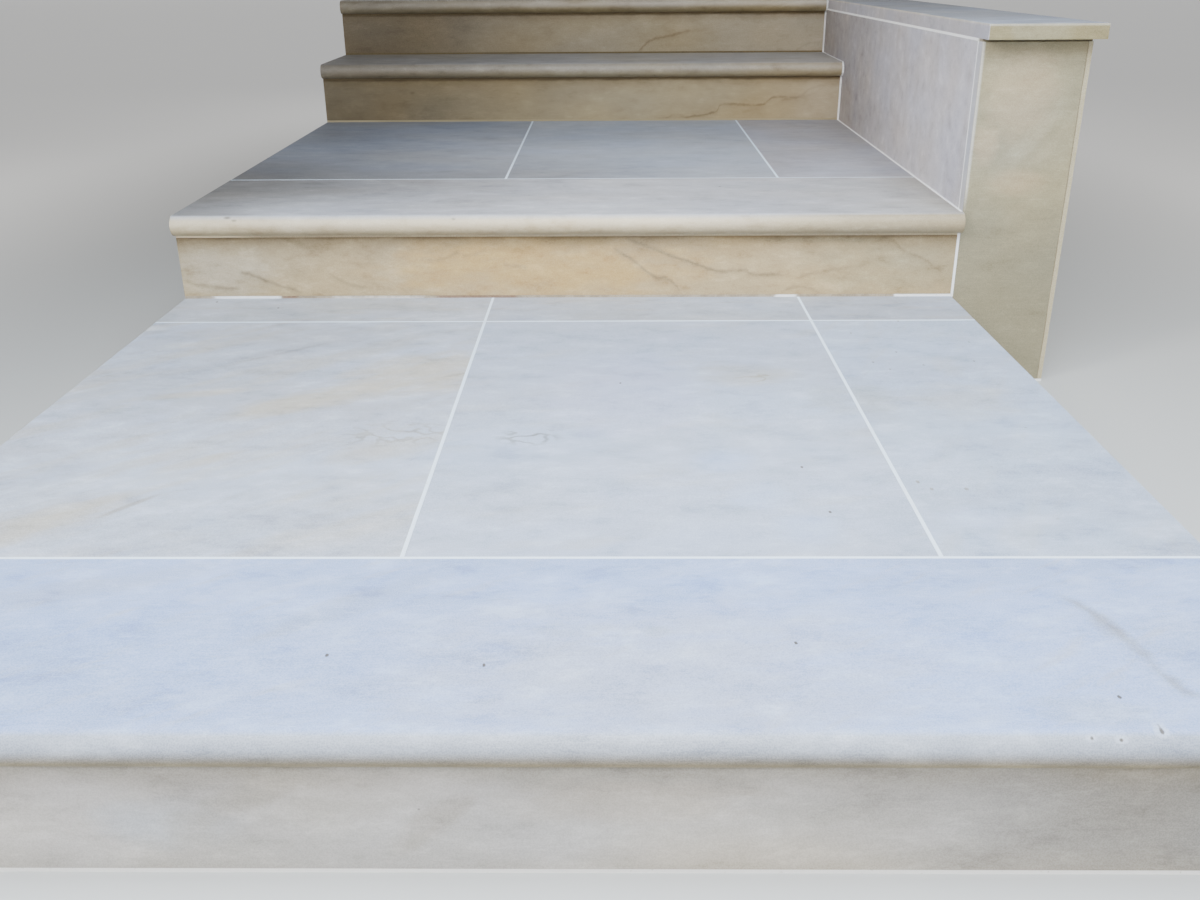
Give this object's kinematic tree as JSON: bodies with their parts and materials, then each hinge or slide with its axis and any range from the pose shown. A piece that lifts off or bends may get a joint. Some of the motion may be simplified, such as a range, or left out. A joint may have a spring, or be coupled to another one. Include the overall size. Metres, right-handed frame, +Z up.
{
  "type": "outdoor stone steps",
  "caption": "Outdoor sandstone steps: bullnose treads on plain risers, slabbed landings, and a coped parapet wall along the right side",
  "frame": {"origin": "on the ground, under the middle of the bounding box", "axes": "+Z up, +Y the way a person climbs, +X to that person's right, where the parapet stands"},
  "size_m": [1.739, 3.9809, 0.6992],
  "materials": {
    "paving_stone": "smooth sawn sandstone, cool grey",
    "riser_stone": "smooth sawn sandstone, warm buff",
    "wall_stone": "smooth sawn sandstone",
    "coping_stone": "smooth sawn sandstone, square arrises",
    "white_pointing": "fine white mortar, flush",
    "core_masonry": "plain concrete masonry"
  },
  "bodies": {
    "root": {"landing_core": "core_masonry", "platform_core": "core_masonry", "third_step_core": "core_masonry", "top_core": "core_masonry", "wall_core": "core_masonry", "tread_1": "paving_stone", "tread_2": "paving_stone", "tread_3": "paving_stone", "tread_4": "paving_stone", "riser_1": "riser_stone", "riser_2": "riser_stone", "riser_3": "riser_stone", "riser_4": "riser_stone", "left_landing_facing": "riser_stone", "right_landing_facing": "riser_stone", "left_platform_facing": "riser_stone", "left_upper_facing": "riser_stone", "back_facing": "wall_stone", "wall_front_facing": "wall_stone", "wall_inner_facing": "wall_stone", "wall_outer_facing": "wall_stone", "coping_front": "coping_stone", "coping_back": "coping_stone", "riser_pointing": "white_pointing", "landing_pointing": "white_pointing", "platform_pointing": "white_pointing", "top_pointing": "white_pointing", "step_end_pointing": "white_pointing", "side_pointing": "white_pointing", "back_pointing": "white_pointing", "wall_pointing": "white_pointing", "coping_pointing": "white_pointing", "ground_bed": "white_pointing", "landing_slab_left": "paving_stone", "landing_slab_middle": "paving_stone", "landing_slab_right": "paving_stone", "landing_strip_left": "paving_stone", "landing_strip_middle": "paving_stone", "landing_strip_right": "paving_stone", "platform_slab_left": "paving_stone", "platform_slab_middle": "paving_stone", "platform_slab_right": "paving_stone", "top_slab_left": "paving_stone", "top_slab_middle": "paving_stone", "top_slab_right": "paving_stone"}
  },
  "joints": []
}
